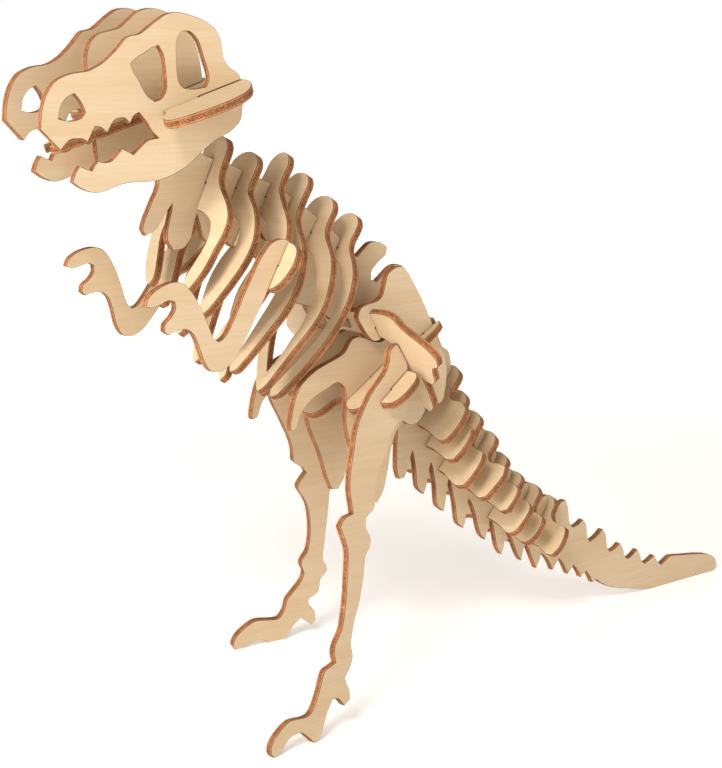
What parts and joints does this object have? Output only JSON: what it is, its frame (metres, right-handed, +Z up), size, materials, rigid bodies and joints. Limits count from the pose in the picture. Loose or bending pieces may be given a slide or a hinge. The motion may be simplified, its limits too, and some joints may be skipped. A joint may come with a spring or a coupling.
{
  "type": "slot-together plywood dinosaur skeleton model",
  "caption": "Standing tyrannosaur skeleton of flat plywood plates that cross in half-lap slots and come apart as a 3-D jigsaw",
  "frame": {"origin": "centre of the bounding box in plan, on the floor that the feet and the tail tip stand on", "axes": "+X from snout to tail tip, -Y the animal's left, +Z up"},
  "size_m": [0.362, 0.1024, 0.2646],
  "materials": {
    "birch_ply": "bare birch plywood, die-cut, with browned edges"
  },
  "bodies": {
    "root": {"arm_left": "birch_ply", "arm_right": "birch_ply", "head_cross_plate": "birch_ply", "hip_plate": "birch_ply", "hip_yoke": "birch_ply", "ilium_left": "birch_ply", "ilium_right": "birch_ply", "leg_left": "birch_ply", "leg_right": "birch_ply", "pelvis_left": "birch_ply", "pelvis_right": "birch_ply", "rib_1": "birch_ply", "rib_2": "birch_ply", "rib_3": "birch_ply", "rib_4": "birch_ply", "rib_5": "birch_ply", "rib_6": "birch_ply", "shoulder_plate": "birch_ply", "skull_left": "birch_ply", "skull_right": "birch_ply", "spine_plate": "birch_ply", "tail_plate": "birch_ply", "tail_vertebra_1": "birch_ply", "tail_vertebra_2": "birch_ply", "tail_vertebra_3": "birch_ply", "tail_vertebra_4": "birch_ply", "tail_vertebra_5": "birch_ply", "tail_vertebra_6": "birch_ply", "tail_vertebra_7": "birch_ply", "tail_vertebra_8": "birch_ply"}
  },
  "joints": []
}
